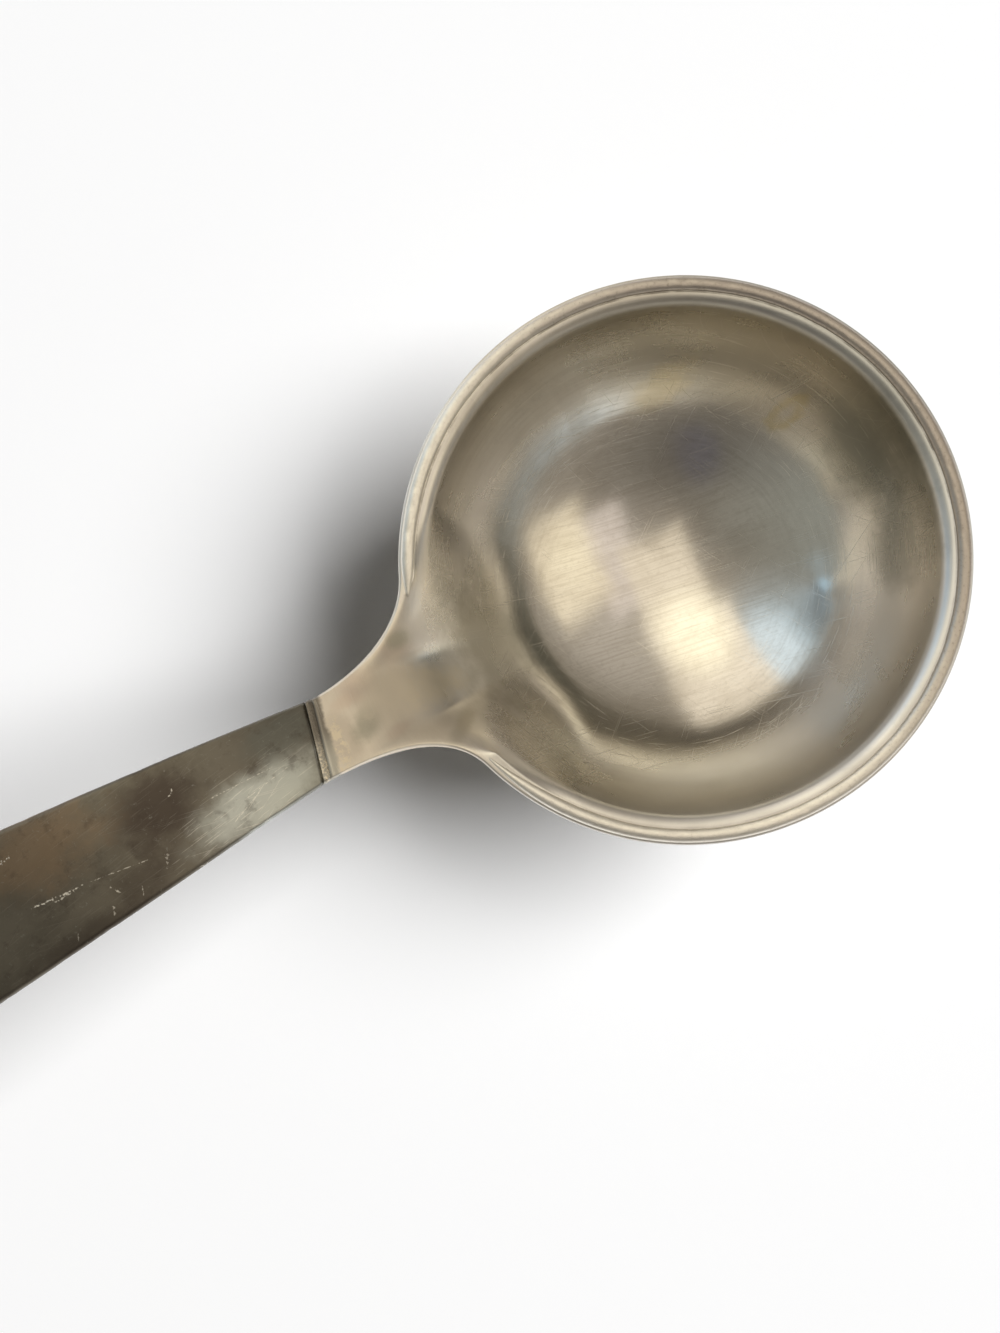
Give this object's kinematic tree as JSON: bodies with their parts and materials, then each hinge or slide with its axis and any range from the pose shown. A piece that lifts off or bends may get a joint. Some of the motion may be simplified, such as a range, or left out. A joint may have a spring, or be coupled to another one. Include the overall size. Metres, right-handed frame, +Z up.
{
  "type": "ladle",
  "caption": "Soup ladle with a deep round bowl raised from sheet metal, a half-round wire soldered round its rim and a flat flaring handle arching up from a short neck",
  "frame": {"origin": "middle of the bowl's worn flat base, on the resting surface", "axes": "+Z up out of the bowl's mouth, +X from the bowl towards the end of the handle, +Y to the left of that"},
  "size_m": [0.2978, 0.0919, 0.056],
  "materials": {
    "bowl_metal": "worn satin, fine scratches, warm tarnish",
    "rim_metal": "filed, slightly brighter than the sheet",
    "handle_metal": "dark brown patina with a rubbed patch",
    "solder": "bright granular hard solder"
  },
  "bodies": {
    "root": {"bowl": "bowl_metal", "rim_wire": "rim_metal", "handle": "handle_metal", "solder_seam": "solder"}
  },
  "joints": []
}
